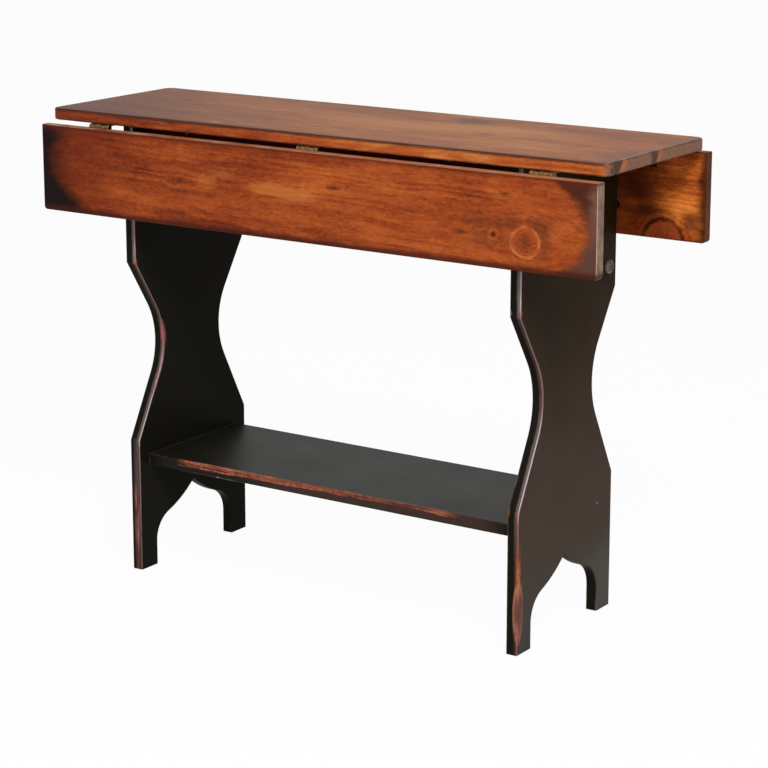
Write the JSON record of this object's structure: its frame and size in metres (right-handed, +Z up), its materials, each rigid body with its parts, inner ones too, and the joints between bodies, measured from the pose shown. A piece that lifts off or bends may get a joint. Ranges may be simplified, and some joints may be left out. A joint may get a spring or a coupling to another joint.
{
  "type": "drop-leaf table",
  "caption": "Narrow drop-leaf occasional table: stained pine top with hanging leaves on brass hinges, black rubbed-paint end boards with shaped waists and arched feet, and a low shelf.",
  "frame": {"origin": "on the floor under the middle of the top", "axes": "+X along the top, to the end with the knob; +Y to the rear; +Z up"},
  "size_m": [1.03, 0.3526, 0.762],
  "materials": {
    "stained_pine": "satin",
    "black_painted_pine": "rubbed satin paint",
    "brass": "aged",
    "steel": "dull"
  },
  "bodies": {
    "frame": {"cleat_screws": "steel", "end_board_plugs": "black_painted_pine", "end_board_screws": "steel", "front_apron": "black_painted_pine", "front_left_hinge_pin": "brass", "front_left_hinge_top_plate": "brass", "front_middle_hinge_pin": "brass", "front_middle_hinge_top_plate": "brass", "front_right_hinge_pin": "brass", "front_right_hinge_top_plate": "brass", "leaf_stop_pegs": "black_painted_pine", "left_end_board": "black_painted_pine", "left_top_cleat": "black_painted_pine", "rear_apron": "black_painted_pine", "rear_left_hinge_pin": "brass", "rear_left_hinge_top_plate": "brass", "rear_middle_hinge_pin": "brass", "rear_middle_hinge_top_plate": "brass", "rear_right_hinge_pin": "brass", "rear_right_hinge_top_plate": "brass", "right_end_board": "black_painted_pine", "right_top_cleat": "black_painted_pine", "shelf": "black_painted_pine", "side_knob": "black_painted_pine", "support_pivot_screws": "steel", "support_stop_pins": "steel", "top_board": "stained_pine", "top_hinge_screws": "brass"},
    "front_leaf": {"front_leaf": "stained_pine", "front_leaf_hinge_screws": "brass", "front_left_hinge_leaf_plate": "brass", "front_middle_hinge_leaf_plate": "brass", "front_right_hinge_leaf_plate": "brass"},
    "front_left_leaf_support": {"front_left_leaf_support": "steel"},
    "front_right_leaf_support": {"front_right_leaf_support": "steel"},
    "rear_leaf": {"rear_leaf": "stained_pine", "rear_leaf_hinge_screws": "brass", "rear_left_hinge_leaf_plate": "brass", "rear_middle_hinge_leaf_plate": "brass", "rear_right_hinge_leaf_plate": "brass"},
    "rear_left_leaf_support": {"rear_left_leaf_support": "steel"},
    "rear_right_leaf_support": {"rear_right_leaf_support": "steel"}
  },
  "joints": [
    {"name": "front_leaf_hinge", "type": "hinge", "parent": "frame", "child": "front_leaf", "pos_m": [0, -0.1525, 0.7382], "axis": [-1, 0, 0], "range_deg": [0, 90]},
    {"name": "rear_leaf_hinge", "type": "hinge", "parent": "frame", "child": "rear_leaf", "pos_m": [0, 0.1525, 0.7382], "axis": [1, 0, 0], "range_deg": [0, 90]},
    {"name": "front_left_support_swivel", "type": "hinge", "parent": "frame", "child": "front_left_leaf_support", "pos_m": [-0.23, -0.105, 0.743], "axis": [0, 0, -1], "range_deg": [0, 90]},
    {"name": "front_right_support_swivel", "type": "hinge", "parent": "frame", "child": "front_right_leaf_support", "pos_m": [0.23, -0.105, 0.743], "axis": [0, 0, 1], "range_deg": [0, 90]},
    {"name": "rear_left_support_swivel", "type": "hinge", "parent": "frame", "child": "rear_left_leaf_support", "pos_m": [-0.23, 0.105, 0.743], "axis": [0, 0, 1], "range_deg": [0, 90]},
    {"name": "rear_right_support_swivel", "type": "hinge", "parent": "frame", "child": "rear_right_leaf_support", "pos_m": [0.23, 0.105, 0.743], "axis": [0, 0, -1], "range_deg": [0, 90]}
  ]
}
